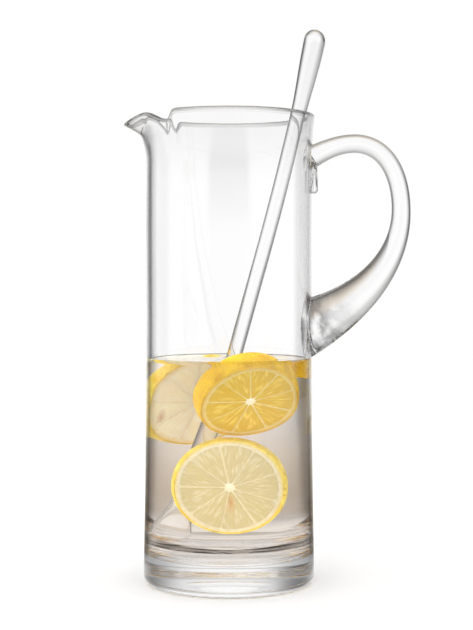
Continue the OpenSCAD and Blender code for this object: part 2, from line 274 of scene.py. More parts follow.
def blown_glass(name, *edge, ior=glass_ior, clear=1.0, wave=26, wavy=0.06, calm_z=None, seal_z=None,
                rim_z=None):
    """Hand-blown soda glass: clear, fire-polished, with faint slow waves from the blowing, and painted grey
    shade where it is seen on edge. The waves die out down to the calm height, because a thick base is ground
    and polished.
    Where a handle's glass was pressed on the wall, on +X up to the seal's height, its rippled glass is drawn
    as dark blots of painted shade. Towards the rim it is a little greyer, a painted shade."""
    made, tree = new_material(name)
    place = add(tree, "ShaderNodeTexCoord").outputs["Object"]
    parts = add(tree, "ShaderNodeSeparateXYZ", {"Vector": place})
    waves = add(tree, "ShaderNodeTexNoise", {"Vector": place}, Scale=per_mm(wave), Detail=1.0, Roughness=0.4)
    strength = wavy
    if calm_z is not None:
        strength = add(tree, "ShaderNodeMapRange", {"Value": parts.outputs["Z"]}, From_Min=calm_z * MM,
                       From_Max=2 * calm_z * MM, To_Max=wavy)
    bump = add(tree, "ShaderNodeBump", {"Height": waves, "Strength": strength}, Distance=1.6 * MM)
    # Painted shade: the glass's colour turns grey by how far it is seen on edge
    slant = add(tree, "ShaderNodeLayerWeight", Blend=0.5)
    shade = add(tree, "ShaderNodeValToRGB", {"Fac": slant.outputs["Facing"]})
    set_stops(shade, *edge)
    if rim_z is not None:
        # Painted shade: the inside turns a little greyer towards the rim
        rim_shade_share = add(tree, "ShaderNodeMapRange", {"Value": parts.outputs["Z"]},
                      From_Min=(rim_z - rim_shade_start) * MM, From_Max=(rim_z - rim_shade_end) * MM)
        band = add(tree, "ShaderNodeValToRGB", {"Fac": rim_shade_share})
        set_stops(band, (0.0, "ffffff"), (1.0, "f4f4f4"))
        shade = add(tree, "ShaderNodeVectorMath", {0: shade, 1: band}, operation="MULTIPLY")
    if seal_z is not None:
        # Painted shade: dark noise blots where the handle's lower seal meets the wall
        seal_shade_noise = add(tree, "ShaderNodeTexNoise", {"Vector": place}, Scale=per_mm(7), Detail=2.0,
                      Roughness=0.5)
        seal_shade_blots = add(tree, "ShaderNodeValToRGB", {"Fac": seal_shade_noise})
        set_stops(seal_shade_blots, (0.38, "5c5c5c"), (0.58, "ffffff"))
        near = add(tree, "ShaderNodeMapRange", {"Value": parts.outputs["X"]}, From_Min=(body_r + 3) * MM,
                   From_Max=(body_r + seal_shade_reach) * MM, To_Min=1.0, To_Max=0.0)
        low = add(tree, "ShaderNodeMapRange", {"Value": parts.outputs["Z"]}, From_Min=seal_z * MM,
                  From_Max=(seal_z + seal_shade_reach) * MM, To_Min=1.0, To_Max=0.0)
        pressed = add(tree, "ShaderNodeMath", {0: near, 1: low}, operation="MULTIPLY")
        painted_seal_shade = add(tree, "ShaderNodeMix", {"Factor": pressed, COLOUR_A: WHITE, COLOUR_B: seal_shade_blots},
                     data_type="RGBA")
        shade = add(tree, "ShaderNodeVectorMath", {0: shade, 1: painted_seal_shade}, operation="MULTIPLY")
    glass = add(tree, "ShaderNodeBsdfPrincipled", {"Base Color": shade, "Normal": bump},
                Roughness=0.0, IOR=ior, Transmission_Weight=clear)
    add(tree, "ShaderNodeOutputMaterial", {"Surface": glass})
    return made


def fused_seam():
    """Where the hot glass of the handle has flowed into the wall there is no surface left to see."""
    made, tree = new_material("fused_glass_seam")
    clear = add(tree, "ShaderNodeBsdfPrincipled", Base_Color=WHITE, Alpha=0.0)
    add(tree, "ShaderNodeOutputMaterial", {"Surface": clear})
    return made


def clear_drink():
    """Water with a little lemon juice: as clear as the glass, a trace warmer where it is deep."""
    made, tree = new_material("water_with_lemon_juice")
    water = add(tree, "ShaderNodeBsdfPrincipled", Base_Color=WHITE, Roughness=0.0, IOR=water_ior,
                Transmission_Weight=1.0)
    tint = add(tree, "ShaderNodeVolumeAbsorption", Color=colour("d9bfa0"), Density=6.0)
    add(tree, "ShaderNodeOutputMaterial", {"Surface": water, "Volume": tint})
    return made


def lemon_peel(name, deep, light):
    """Waxy lemon zest: yellow with paler patches, pitted by oil glands a little over a millimetre apart."""
    made, tree = new_material(name)
    place = add(tree, "ShaderNodeTexCoord").outputs["Object"]
    patches = add(tree, "ShaderNodeTexNoise", {"Vector": place}, Scale=per_mm(9), Detail=3.0)
    tone = add(tree, "ShaderNodeValToRGB", {"Fac": patches})
    set_stops(tone, (0.35, deep), (0.68, light))
    pits = add(tree, "ShaderNodeTexVoronoi", {"Vector": place}, Scale=per_mm(1.5))
    bump = add(tree, "ShaderNodeBump", {"Height": pits}, Strength=1.0, Distance=0.9 * MM)
    zest = add(tree, "ShaderNodeBsdfPrincipled", {"Base Color": tone, "Normal": bump},
               Roughness=0.38, IOR=wet_peel_ior, Subsurface_Weight=0.2, Subsurface_Radius=(1.0, 0.6, 0.1),
               Subsurface_Scale=2 * MM)
    add(tree, "ShaderNodeOutputMaterial", {"Surface": zest})
    return made


def lemon_pith(name, membrane, ring, edge):
    """Wet lemon pith: off-white, spongy, with a soft inner glow; yellower in the thin membranes between
    segments and where it meets the peel."""
    made, tree = new_material(name)
    place = add(tree, "ShaderNodeTexCoord").outputs["Object"]
    sponge = add(tree, "ShaderNodeTexNoise", {"Vector": place}, Scale=per_mm(2.2), Detail=4.0)
    tone = add(tree, "ShaderNodeValToRGB", {"Fac": sponge})
    set_stops(tone, (0.3, "f4ecd6"), (0.7, "ffffff"))
    share = add(tree, "ShaderNodeUVMap", uv_map=uv_name)
    along = add(tree, "ShaderNodeSeparateXYZ", {"Vector": share})
    ripe = add(tree, "ShaderNodeValToRGB", {"Fac": along.outputs["X"]})
    set_stops(ripe, (0.0, "f6f0e2"), (0.09, "eee6ce"), (0.18, membrane), (0.86, membrane), (0.93, ring),
              (1.0, edge))
    both = add(tree, "ShaderNodeVectorMath", {0: tone, 1: ripe}, operation="MULTIPLY")
    bump = add(tree, "ShaderNodeBump", {"Height": sponge}, Strength=0.3, Distance=0.3 * MM)
    pith = add(tree, "ShaderNodeBsdfPrincipled", {"Base Color": both, "Normal": bump},
               Roughness=0.45, IOR=wet_pith_ior, Subsurface_Weight=0.4, Subsurface_Radius=(1.0, 0.8, 0.4),
               Subsurface_Scale=3 * MM)
    add(tree, "ShaderNodeOutputMaterial", {"Surface": pith})
    return made


def lemon_pulp(name, light, deep, seed=None):
    """Juicy lemon flesh: translucent yellow sacs that run from the peel to the core, deeper between them. A
    seed under the cut, at a place in metres, shows through as a soft brown streak."""
    made, tree = new_material(name)
    place = add(tree, "ShaderNodeUVMap", uv_map=uv_name)
    stretch = add(tree, "ShaderNodeMapping", {"Vector": place}, Scale=(0.25, 1.0, 1.0))
    sacs = add(tree, "ShaderNodeTexVoronoi", {"Vector": stretch}, feature="SMOOTH_F1", Scale=0.75,
               Smoothness=0.4)
    depth = add(tree, "ShaderNodeTexNoise", {"Vector": place}, Scale=0.16, Detail=2.0)
    mixed = add(tree, "ShaderNodeMath", {0: sacs, 1: depth}, operation="ADD")
    shade = add(tree, "ShaderNodeValToRGB", {"Fac": mixed})
    set_stops(shade, (0.5, light), (1.0, deep))
    if seed is not None:
        spot = add(tree, "ShaderNodeTexCoord")
        slim = (1.0, 1.0, 0.4)
        squashed = add(tree, "ShaderNodeVectorMath", {0: spot.outputs["Object"], 1: slim},
                       operation="MULTIPLY")
        away = add(tree, "ShaderNodeVectorMath", {0: squashed, 1: seed * slim}, operation="DISTANCE")
        faint = add(tree, "ShaderNodeMapRange", {"Value": away}, From_Min=0.0, From_Max=2.6 * MM, To_Min=0.7,
                    To_Max=0.0)
        shade = add(tree, "ShaderNodeMix", {"Factor": faint, COLOUR_A: shade, COLOUR_B: colour("b8782c")},
                    data_type="RGBA")
    bump = add(tree, "ShaderNodeBump", {"Height": sacs}, Strength=0.35, Distance=0.4 * MM)
    flesh = add(tree, "ShaderNodeBsdfPrincipled", {"Base Color": shade, "Normal": bump},
                Roughness=0.22, IOR=wet_flesh_ior, Subsurface_Weight=0.5, Subsurface_Radius=(1.0, 0.8, 0.25),
                Subsurface_Scale=4 * MM)
    add(tree, "ShaderNodeOutputMaterial", {"Surface": flesh})
    return made


# Jug

jug_columns = 320


def wall_r(z):
    """Outside radius of the round wall: it widens to the foot by a power curve and to the rim by a square."""
    foot = (foot_r - body_r) * np.clip(1 - z / foot_flare_h, 0, 1) ** foot_power
    rim = (rim_r - body_r) * np.clip((z - lip_z) / lip_h, 0, None) ** 2
    return body_r + foot + rim


def drawn_out(angle, share):
    """How far the lip stands out: a squared hump round the rim, times a slow square up the wall that turns
    into a steep straight run at the bend."""
    bend_at, bend_share = 0.76, 0.19
    steep = (1 - bend_share) / (1 - bend_at)
    slow = bend_share * (share / bend_at) ** 2
    rise = slow + (steep - 2 * bend_share / bend_at) * ramp(share - bend_at, 0.02)
    full = bend_share / bend_at ** 2 + (steep - 2 * bend_share / bend_at) * ramp(1 - bend_at, 0.02)
    return lip_reach * hump(angle / lip_angle) ** 2 * rise / full


def pinch(angle):
    """Hump at the pinch, wide towards the lip and narrow towards the round rim."""
    off = angle - pinch_angle
    return hump(off / np.where(off < 0, pinch_lip_side, pinch_rim_side))


def rim_drop(angle):
    """How far the rim lies below its full height at the lip's tip and in the pinches."""
    return lip_droop * hump(angle / droop_angle) + pinch_drop * pinch(angle)


def jug_outline():
    """Outline of the glass from the middle of the underside, over the heel, wall and rim bead, down the
    inside and over the floor to its middle, as radius, height and share of the lip's height."""
    hollow = spans((0.6, pontil_r - 0.6, 10))
    sphere_r = (pontil_r ** 2 + pontil_depth ** 2) / (2 * pontil_depth)
    hollow_z = pontil_depth - sphere_r + np.sqrt(sphere_r ** 2 - hollow ** 2)
    heel_at = wall_r(heel_r) - heel_r
    ring = spans((pontil_r + 0.4, heel_at - 1, 6))
    heel = np.radians(spans((-90, 0, 30)))
    up = spans((heel_r + 2, 118, 16), (118, 166, 44), (166, 208, 9), (208, lip_z, 22))
    share = spans((1 / 34, 1, 33))
    bead = np.radians(spans((12, 168, 13)))
    down = spans((lip_z, base_t + floor_r, 20))
    fillet = np.radians(spans((0, -90, 54)))
    floor = spans((inner_r - floor_r - 2, 0.6, 8))
    full = lip_h - bead_r
    outer = wall_r(lip_z + lip_h * share)
    radius = np.concatenate([
        hollow, ring, heel_at + heel_r * np.cos(heel), wall_r(up), outer,
        outer[-1] - bead_r * (1 - np.cos(bead)), (outer - wall)[::-1], np.full(len(down), inner_r),
        inner_r - floor_r + floor_r * np.cos(fillet), floor])
    height = np.concatenate([
        hollow_z, 0 * ring, heel_r + heel_r * np.sin(heel), up, lip_z + full * share,
        lip_z + full + bead_r * np.sin(bead), (lip_z + full * share)[::-1], down,
        base_t + floor_r + floor_r * np.sin(fillet), base_t + 0 * floor])
    below = len(hollow) + len(ring) + len(heel) + len(up)
    above = len(down) + len(fillet) + len(floor)
    shares = np.concatenate([np.zeros(below), share, np.ones(len(bead)), share[::-1], np.zeros(above)])
    return radius, height, shares


def jug_surface():
    """The outline turned round the axis, drawn out and pinched by bearing and share at the lip, with slow
    waves of a few hundredths of a millimetre from the blowing. Bearing zero is the lip's middle, on -X."""
    radius, height, share = (a[:, None] for a in jug_outline())
    bearing = np.linspace(-180, 180, jug_columns, endpoint=False)[None, :]
    angle = np.abs(bearing)
    turn = np.radians(bearing)
    slow = 0.07 * np.sin(3 * turn + height / 31) * np.sin(height / 23 + 1.3)
    waves = slow + 0.04 * np.sin(5 * turn - height / 17)
    out = radius + drawn_out(angle, share) - pinch_depth * pinch(angle) * share ** 2
    out = out + waves * np.clip(radius / 40, 0, 1) ** 4 * np.clip((height - 20) / 20, 0, 1)
    up = height - share * rim_drop(angle) + 0 * turn
    grid = np.stack([-out * np.cos(turn), -out * np.sin(turn), up], -1)
    return closed_tube(grid, np.array([0, 0, pontil_depth]), np.array([0, 0, base_t]))


# Handle

handle_reach = 49.8
grip_t, grip_w = 10.4, 13.0
upper_seal_h, upper_seal_w = 14.5, 22.0
lower_seal_h, lower_seal_w = 34.0, 29.0
tail_l, tail_t = 13.0, 4.0
tail_off = 0.3 * tail_t
upper_z = body_h - 27.0
arch_z = body_h - 15.8
grip_z = body_h - 53.0
lower_z = body_h - 117.5
seat_depth = 0.9
# Shares of the handle's length over which it swells to its seals
upper_swell, lower_swell = 0.3, 0.36


def handle_point(out, z, up):
    """Control point of the middle line, out from the wall and up from a height in shares of the reach."""
    return [body_r + out * handle_reach, z + up * handle_reach]


def handle_line(u):
    """Middle line of the handle in X and Z: three cubic curves from the upper seal over the arch and the grip
    to the lower seal, for u from 0 to 1."""
    curves = [
        [handle_point(-0.18, upper_z, -0.02), handle_point(0.08, upper_z, 0.12),
         handle_point(0.26, arch_z, 0), handle_point(0.48, arch_z, 0)],
        [handle_point(0.48, arch_z, 0), handle_point(0.8, arch_z, 0),
         handle_point(1, grip_z, 0.44), handle_point(1, grip_z, 0)],
        [handle_point(1, grip_z, 0), handle_point(1, grip_z, -0.56),
         handle_point(0.58, lower_z, 0.24), handle_point(-0.18, lower_z, -0.06)]]
    index = np.clip((3 * u).astype(int), 0, 2)
    along = 3 * u - index
    each = np.stack([bezier(curve, along) for curve in curves])
    return each[index, np.arange(len(u))]


def handle_section(u):
    """Middle line, way across it and half sizes of the handle's oval section, which swells to the seals."""
    step = 1e-4
    ahead = handle_line(np.clip(u + step, 0, 1)) - handle_line(np.clip(u - step, 0, 1))
    side = np.stack([-ahead[:, 1], ahead[:, 0]], -1) / np.linalg.norm(ahead, axis=1)[:, None]
    upper = np.clip(1 - u / upper_swell, 0, 1) ** 2
    lower = np.clip((u - (1 - lower_swell)) / lower_swell, 0, 1) ** 2
    thick = grip_t + (upper_seal_h - grip_t) * upper + (lower_seal_h - grip_t) * lower
    wide = grip_w + (upper_seal_w - grip_w) * upper + (lower_seal_w - grip_w) * lower
    return handle_line(u), side, thick / 2, wide / 2


def on_seat(grid):
    """A grid whose points that would lie deeper in the wall than the seat are laid on the seat, and which
    those are."""
    push = np.maximum((wall_r(grid[..., 2]) - seat_depth) / np.hypot(grid[..., 0], grid[..., 1]), 1)
    return np.stack([grid[..., 0] * push, grid[..., 1] * push, grid[..., 2]], -1), push > 1


def handle_grid():
    """Oval section carried along the middle line, with its ends laid on the seats."""
    u = np.sort(np.concatenate([spans((0, 0.12, 60)), spans((0.124, 0.8, 90)), spans((0.804, 1, 60))]))
    middle, side, thick, wide = handle_section(u)
    turn = whole_turn(64)
    reach = thick[:, None] * np.cos(turn)
    return on_seat(np.stack([middle[:, 0, None] + side[:, 0, None] * reach, -wide[:, None] * np.sin(turn),
                             middle[:, 1, None] + side[:, 1, None] * reach], -1))


def tail_rows():
    """Heights of the tail's rows, and their half sizes out from the wall and along it: a round roll at the
    end, then a flat band that widens upwards into the handle."""
    roll = 0.6 * tail_t
    low = upper_z - upper_seal_h / 2 - tail_l + 0.9 * tail_t
    end = np.radians(spans((-86, 20, 16)))
    rise = spans((1 / 16, 1, 15))
    band = tail_t / 2 + (roll * math.cos(end[-1]) - tail_t / 2) * hump(rise)
    out = np.concatenate([roll * np.cos(end), band])
    up = np.concatenate([roll + roll * np.sin(end), roll + roll * math.sin(end[-1]) + tail_l * rise])
    wide = upper_seal_w / 8 + np.concatenate([roll * np.cos(end), roll * math.cos(end[-1]) + 2.0 * rise])
    return low + up, out, wide


def tail_grid():
    """The trailing end of the handle's glass, turned down on the wall: an oval carried up its rows."""
    z, out, wide = (row[:, None] for row in tail_rows())
    turn = whole_turn(48)
    x = wall_r(z) + tail_off + out * np.cos(turn)
    return on_seat(np.stack([x, wide * np.sin(turn), z + 0 * turn], -1))[0]


def handle_surface():
    """The handle's grid, closed at each end by a patch that lies on the seat in the wall, and its tail."""
    grid = handle_grid()[0]
    ends = [on_seat(ring.mean(0) * [0.5, 0.5, 1])[0] for ring in (grid[0], grid[-1])]
    return joined([closed_tube(grid, *ends), closed_tube(tail_grid())])


def inside_polygon(points, polygon):
    """Which points lie inside a closed polygon: an odd number of its sides lies to their right."""
    x, y = points[:, 0, None], points[:, 1, None]
    a, b = polygon, np.roll(polygon, -1, axis=0)
    crosses = (a[None, :, 1] > y) != (b[None, :, 1] > y)
    gap = np.where(b[:, 1] == a[:, 1], 1e-9, b[:, 1] - a[:, 1])
    at = a[:, 0] + (y - a[:, 1]) * (b[:, 0] - a[:, 0]) / gap
    return (crosses & (x < at)).sum(1) % 2 == 1


def handle_footprints():
    """The outlines, in Y and Z, along which the handle's grid and its tail go into the wall."""
    grid, seated = handle_grid()
    rows = np.arange(len(grid))
    columns = np.arange(grid.shape[1])
    first_half = rows[:, None] < len(rows) // 2
    last_seated = np.where(seated & first_half, rows[:, None], 0).max(0)
    first_seated = np.where(seated & ~first_half, rows[:, None], len(rows) - 1).min(0)
    z, out, wide = (row[tail_rows()[1] > tail_off] for row in tail_rows())
    edge = np.stack([wide * np.sqrt(1 - (tail_off / out) ** 2), z], -1)
    tail = np.concatenate([edge, (edge * [-1, 1])[::-1]])
    return [grid[row, columns][:, [1, 2]] for row in (last_seated, first_seated)] + [tail]


def jug_face_material(points, quads, fans):
    """Marks the outside faces of the wall that lie under the handle's seals and tail by 1, the rim's bead by
    2, the inside of the wall by 3 and the outside of the thick base above the foot of its heel by 4."""
    middle = points[quads].mean(1)
    outside = (np.hypot(middle[:, 0], middle[:, 1]) > body_r - bead_r) & (middle[:, 0] > 30)
    under = np.zeros(len(quads), bool)
    for outline in handle_footprints():
        under |= inside_polygon(middle[:, [1, 2]], outline)
    row = np.arange(len(quads)) // jug_columns
    bead = jug_outline()[2][row] > 0.97
    inside = row > np.argmax(jug_outline()[1])
    base = (middle[:, 2] > heel_r / 2) & (middle[:, 2] < base_t + floor_r)
    kind = np.where(outside & under, 1, np.where(bead, 2, np.where(inside, 3, np.where(base, 4, 0))))
    return np.concatenate([kind, np.zeros(len(fans), int)])


def handle_face_material(points, quads, fans):
    """Marks the faces of the handle that lie on its seats in the wall, and those of the tail inside it."""
    depth = np.hypot(points[:, 0], points[:, 1]) - wall_r(points[:, 2]) + seat_depth
    seated = np.abs(depth) < 0.02
    middle, side, thick, wide = handle_section(spans((0, upper_swell, 60)))
    centre = points[quads].mean(1)
    away = centre[:, None, [0, 2]] - middle[None]
    across = (away * side[None]).sum(-1) / thick
    along = np.abs((away * side[None, :, ::-1] * [1, -1]).sum(-1))
    nearest = along.argmin(1)
    inside = (across[np.arange(len(quads)), nearest] ** 2 + (centre[:, 1] / wide[nearest]) ** 2 < 0.98)
    tail = np.arange(len(quads)) >= len(quads) - (len(tail_rows()[0]) - 1) * tail_grid().shape[1]
    ends = np.ones(len(fans), bool)
    ends[-2 * tail_grid().shape[1]:-tail_grid().shape[1]] = False
    return np.concatenate([seated[quads].all(1) | (tail & inside), ends])


# Stirrer

rod_r = 4.3
knob_r = 6.1
knob_taper_l = 46.0
paddle_r = 9.0
paddle_t = 4.4
paddle_l = 34.0
# How far the knob's end is bent, and the shares of the length at which the bend starts and that it takes
bent = 4.0
bend_from, bend_span = 0.55, 0.45


def stirrer_ends():
    """Middles of the stirrer's round foot and knob in X and Z, and the Y of its axis, from its CAD box."""
    low, high = box_mm("stirrer")
    foot = np.array([low[0] + paddle_r, low[2] + paddle_r])
    top = np.array([high[0] - knob_r, high[2] - knob_r])
    return foot, top, (low[1] + high[1]) / 2


def stirrer_surface():
    """Outline of the foot's round end, rod, taper and knob turned round its axis, with the foot pressed flat
    by a smooth limit on Y, and the upper end bent a little upright by a square."""
    foot, top, back = stirrer_ends()
    length = np.linalg.norm(top - foot)
    along = (top - foot) / length
    start = np.radians(spans((-86, 0, 20)))
    blend = spans((1 / 24, 1, 23))
    taper = spans((0, 1, 26))
    end = np.radians(spans((4, 87, 18)))
    straight = spans((paddle_l - paddle_r + 4, length - knob_taper_l - 4, 40))
    radius = np.concatenate([
        paddle_r * np.cos(start), rod_r + (paddle_r - rod_r) * hump(blend), np.full(len(straight), rod_r),
        rod_r + (knob_r - rod_r) * (1 - hump(taper)), knob_r * np.cos(end)])[:, None]
    height = np.concatenate([
        paddle_r * np.sin(start), (paddle_l - paddle_r) * blend, straight,
        length - knob_taper_l * (1 - taper), length + knob_r * np.sin(end)])[:, None]
    turn = whole_turn(72)
    press_top = 1.18 * paddle_l - paddle_r
    freed = 1 - hump(np.clip(height / press_top, 0, 1))
    limit = paddle_t / 2 + (2.2 * rod_r - paddle_t / 2) * freed
    x = radius * np.cos(turn)
    y = radius * np.sin(turn)
    y = y / (1 + np.abs(y / limit) ** 6) ** (1 / 6)
    up = height + 0 * turn
    x = x - bent * np.clip(up / length - bend_from, 0, None) ** 2 / bend_span ** 2
    grid = np.stack([foot[0] + x * along[1] + up * along[0], back + y,
                     foot[1] - x * along[0] + up * along[1]], -1)
    return closed_tube(grid)


def stirrer_face_material(points, quads, fans):
    """Marks the faces of the stirrer that stand in the drink."""
    return np.concatenate([points[f].mean(1)[:, 2] < drink_level for f in (quads, fans)])


# Drink

drink_overlap = 0.15
# Height of the ring of drink that climbs the stirrer, and how soon it fades
ring_h, ring_fade = 0.9, 1.3


def rod_distance(x, y):
    """Distance from the stirrer's rod where it passes through the surface of the drink, across a flat cut."""
    foot, top, back = stirrer_ends()
    at = foot[0] + (top[0] - foot[0]) * (drink_level - foot[1]) / (top[1] - foot[1])
    return np.hypot(x - at, y - back) - rod_r


def drink_surface():
    """The inside of the jug up to the level, a hair larger so that it wets the glass. Its top is level and
    climbs by a square at the wall, and by a fading bump round the stirrer."""
    edge = inner_r + drink_overlap
    floor = spans((0.6, inner_r - floor_r - 2, 8))
    fillet = np.radians(spans((-90, 0, 54)))
    up = spans((base_t + floor_r + 3, drink_level - 2, 30))
    top = spans((edge, edge - 4, 14), (edge - 4, 1.0, 60))
    climb = meniscus_h * np.clip((top - edge + 2.4 * meniscus_h) / (2.4 * meniscus_h), 0, 1) ** 2
    round_r = floor_r + drink_overlap
    radius = np.concatenate([
        floor, inner_r - floor_r + round_r * np.cos(fillet), np.full(len(up), edge), top])
    height = np.concatenate([
        base_t - drink_overlap + 0 * floor, base_t + floor_r + round_r * np.sin(fillet), up,
        drink_level + climb])
    on_top = np.arange(len(radius))[:, None] >= len(radius) - len(top)
    turn = whole_turn(256)
    x = radius[:, None] * np.cos(turn)
    y = radius[:, None] * np.sin(turn)
    bump = np.where(on_top, ring_h * np.exp(-np.clip(rod_distance(x, y), 0, None) / ring_fade), 0)
    return closed_tube(np.stack([x, y, height[:, None] + bump], -1),
                       np.array([0, 0, base_t - drink_overlap]), np.array([0, 0, drink_level]))


# Lemon wheels

slice_d = 0.624 * 2 * inner_r
side_d = 0.962 * slice_d
slice_t = 0.139 * slice_d
peel_t = 1.4
pith_t = 1.9
membrane_t = 0.42
segment_count = 9
segment_corner_r = 1.2
segment_tip_r = 0.8
segment_middle = 0.62
sac_l, sac_w, sac_h = 4.6, 1.7, 0.16
proud = 0.03
# Step of the flesh's pattern from one segment to the next, so that no two look alike
pattern_step = 31.0

# Each wheel: diameter, thickness, turn about the vertical and lean from upright, in degrees
wheels = {
    "front": (slice_d, slice_t, -4, 8),
    "middle": (side_d, 1.57 * slice_t, 20, 39),
    "left": (side_d, 0.82 * slice_t, 32, 14),
    "right": (0.564 * slice_d, 1.2 * slice_t, -60, 78),
}


def placed(points, wheel):
    """Points of a wheel that lies flat at the origin, tipped up, turned and moved to its place."""
    turn, lean = np.radians(wheels[wheel][2]), np.radians(90 + wheels[wheel][3])
    low, high = box_mm(wheel + "_slice_peel")
    x, y, z = points.T
    y, z = y * np.cos(lean) - z * np.sin(lean), y * np.sin(lean) + z * np.cos(lean)
    x, y = x * np.cos(turn) - y * np.sin(turn), x * np.sin(turn) + y * np.cos(turn)
    return np.stack([x, y, z], -1) + (low + high) / 2


def unround(turn, wheel):
    """A lemon isn't quite round: slow waves of its radius, as a share."""
    phase = 1.7 * list(wheels).index(wheel)
    return 1 + 0.006 * np.cos(2 * turn + phase) - 0.004 * (1 + np.sin(3 * turn - phase))


def peel_surface(wheel):
    """Band of peel: a round-edged rectangle with a crowned outer side, carried round the wheel."""
    d, t = wheels[wheel][:2]
    edge = 0.5
    inner = d / 2 - peel_t
    corner = np.radians(spans((0, 90, 5)))
    crown = spans((-1, 1, 12))
    half = t / 2 - edge
    radius = np.concatenate([
        d / 2 - 0.5 * crown ** 2, d / 2 - 0.5 - edge + edge * np.cos(corner),
        [inner + 0.2, inner, inner, inner + 0.2], d / 2 - 0.5 - edge + edge * np.cos(corner)[::-1]])
    height = np.concatenate([
        half * crown, half + edge * np.sin(corner), [t / 2, t / 2 - 0.2, 0.2 - t / 2, -t / 2],
        -half - edge * np.sin(corner)[::-1]])
    turn = whole_turn(240)
    out = radius[:, None] * unround(turn, wheel)
    grid = np.stack([out * np.cos(turn), out * np.sin(turn), height[:, None] + 0 * turn], -1)
    points = grid.reshape(-1, 3)
    return (placed(points, wheel), *loop_faces(*grid.shape[:2]))


def pith_surface(wheel):
    """Disc of pith that carries the segments, its faces a hair below theirs, its core a little sunk. Also
    gives each point's distance from the core, as a share of the disc's radius."""
    d, t = wheels[wheel][:2]
    outer = d / 2 - peel_t + 0.1
    half = t / 2 - proud
    ways = spans((0.5, outer - 0.3, 30))
    sink = 0.35 * np.exp(-(ways / 2.2) ** 2)
    radius = np.concatenate([ways, [outer, outer], ways[::-1]])[:, None]
    height = np.concatenate([sink - half, [0.3 - half, half - 0.3], (half - sink)[::-1]])[:, None]
    turn = whole_turn(200)
    out = radius * unround(turn, wheel)
    grid = np.stack([out * np.cos(turn), out * np.sin(turn), height + 0 * turn], -1)
    points, quads, fans = closed_tube(grid)
    places = np.stack([np.hypot(points[:, 0], points[:, 1]) / outer, np.zeros(len(points))], -1)
    return (placed(points, wheel), quads, fans), places


def segment_outline(r, half_angle):
    """Outline of one segment about the X axis: a round side at the peel, round corners and a blunt tip at
    the core."""
    m = membrane_t / 2
    c = segment_corner_r
    at = half_angle - math.asin((m + c) / (r - c))
    corner = (r - c) * np.array([math.cos(at), math.sin(at)])
    tip = np.array([(m + segment_tip_r) / math.sin(half_angle), 0])
    square = math.pi / 2

    def arc(centre, radius, start, stop, steps):
        a = np.linspace(start, stop, steps)
        return centre + radius * np.stack([np.cos(a), np.sin(a)], -1)

    def run(a, b, steps):
        s = np.linspace(0, 1, steps + 2)[1:-1, None]
        return a + (b - a) * s

    outer = arc(np.zeros(2), r, -at, at, 24)
    upper = arc(corner, c, at, half_angle + square, 8)[1:]
    end = arc(tip, segment_tip_r, half_angle + square, 3 * square - half_angle, 7)
    lower = upper[::-1] * [1, -1]
    return np.concatenate([
        outer, upper, run(upper[-1], end[0], 18), end, run(end[-1], lower[0], 18), lower[:-1]])


def segment_surface(wheel, index, rng):
    """One segment: its outline shrunk towards its middle in steps across both faces, with a softly rounded
    edge and juice sacs as rows of low bumps that point to the core. Also gives each point's place along and
    round."""
    d, t = wheels[wheel][:2]
    r = d / 2 - peel_t - pith_t - 0.4 * rng.random()
    half_angle = math.pi / segment_count - 0.012 * rng.random()
    outline = segment_outline(r, half_angle)
    middle = np.array([segment_middle * r, 0])
    share = spans((0.04, 0.95, 20), (0.95, 1, 4))[:, None, None]
    face = middle + (outline - middle) * share
    along = np.hypot(face[..., 0], face[..., 1])
    across = np.arctan2(face[..., 1], face[..., 0]) * along
    row = along / sac_l + 0.35 * rng.random()
    column = across / sac_w + 0.5 * np.floor(row) + rng.random()
    sac = (1 - (2 * (row % 1) - 1) ** 2) * (1 - (2 * (column % 1) - 1) ** 2)
    rounded = np.clip((share[..., 0] - 0.95) / 0.05, 0, 1)
    height = t / 2 + sac_h * sac * (1 - rounded) - 0.25 * rounded ** 2
    top = np.concatenate([face, height[..., None]], -1)
    bottom = top * [1, 1, -1]
    grid = np.concatenate([bottom, top[::-1]])
    place = np.concatenate([np.stack([along, across + pattern_step * index], -1)] * 2)
    place[len(bottom):] = place[len(bottom):][::-1]
    spin = 2 * math.pi * index / segment_count + 0.03 * (rng.random() - 0.5)
    x, y = grid[..., 0].copy(), grid[..., 1].copy()
    grid[..., 0] = x * math.cos(spin) - y * math.sin(spin)
    grid[..., 1] = x * math.sin(spin) + y * math.cos(spin)
    points, quads, fans = closed_tube(grid)
    poles = np.array([[segment_middle * r, pattern_step * index]] * 2)
    return (points, quads, fans), np.concatenate([place.reshape(-1, 2), poles])


def pulp_surface(wheel):
    """All segments of a wheel, each a little different, and their places along and round."""
    rng = np.random.default_rng(7 + list(wheels).index(wheel))
    made = [segment_surface(wheel, i, rng) for i in range(segment_count)]
    points, quads, fans = joined([m[0] for m in made])
    return (placed(points, wheel), quads, fans), np.concatenate([m[1] for m in made])


def under_cut(wheel, x, y):
    """A place just under the near face of a wheel, x and y from its core, in metres."""
    return placed(np.array([[x, y, wheels[wheel][1] / 2]]), wheel)[0] * MM


# Finishes of the pieces

calm_z = base_t + floor_r
